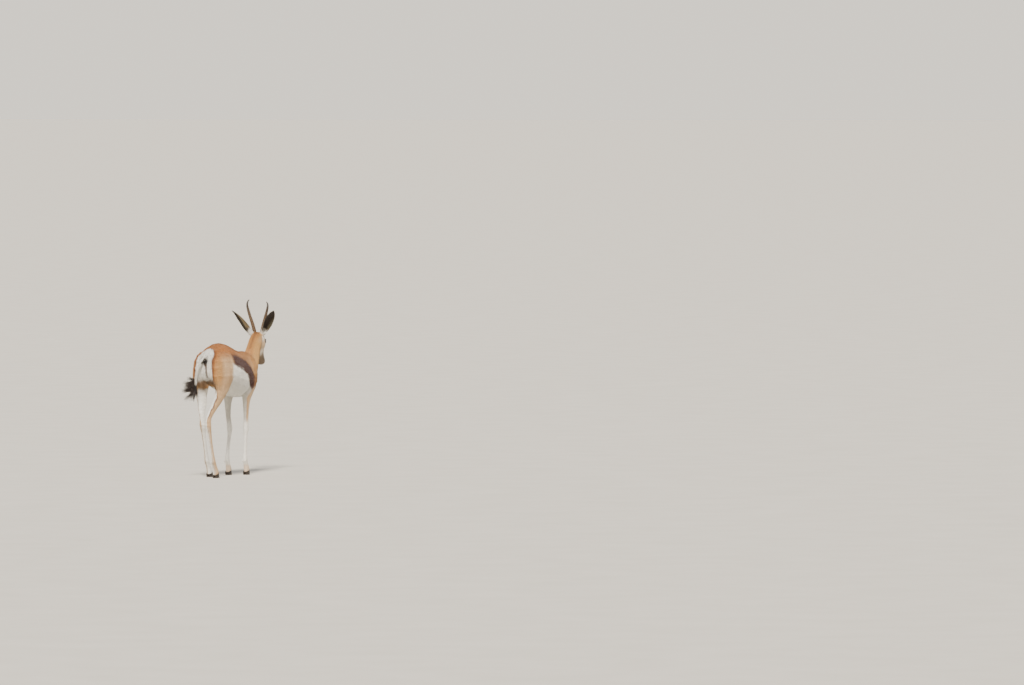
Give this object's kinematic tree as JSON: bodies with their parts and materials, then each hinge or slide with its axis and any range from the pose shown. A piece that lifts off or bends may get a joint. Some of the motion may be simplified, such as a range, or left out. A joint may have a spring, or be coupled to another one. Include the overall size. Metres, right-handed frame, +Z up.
{
  "type": "springbok",
  "caption": "Life-size standing springbok ewe, head turned a little to one side, ears turned back, with slender ringed horns and a tufted tail swung to the left.",
  "frame": {"origin": "on the floor, below the middle of the whole animal's bounding box", "axes": "+X the way the animal faces, +Y to its left, +Z up from the floor"},
  "size_m": [1.0386, 0.281, 1.0474],
  "materials": {
    "coat": "short smooth hair, cinnamon back, dark flank band, white below",
    "face_coat": "short fine hair, pale face with a brown stripe",
    "leg_coat": "short fine hair, fawn outside and white inside",
    "tail_hair": "white hair with a dark tuft",
    "ear_skin": "thin skin with very short hair",
    "horn": "ringed horn, satin at the tip",
    "hoof": "worn dark horn",
    "eye": "wet, dark brown"
  },
  "bodies": {
    "root": {"torso": "coat", "neck": "coat", "head": "face_coat", "tail": "tail_hair", "leg_fore_left": "leg_coat", "leg_fore_right": "leg_coat", "leg_hind_left": "leg_coat", "leg_hind_right": "leg_coat", "ear_left": "ear_skin", "ear_right": "ear_skin", "eye_left": "eye", "eye_right": "eye", "horn_left": "horn", "horn_right": "horn", "hoof_fore_left_inner": "hoof", "hoof_fore_left_outer": "hoof", "hoof_fore_right_inner": "hoof", "hoof_fore_right_outer": "hoof", "hoof_hind_left_inner": "hoof", "hoof_hind_left_outer": "hoof", "hoof_hind_right_inner": "hoof", "hoof_hind_right_outer": "hoof"}
  },
  "joints": []
}
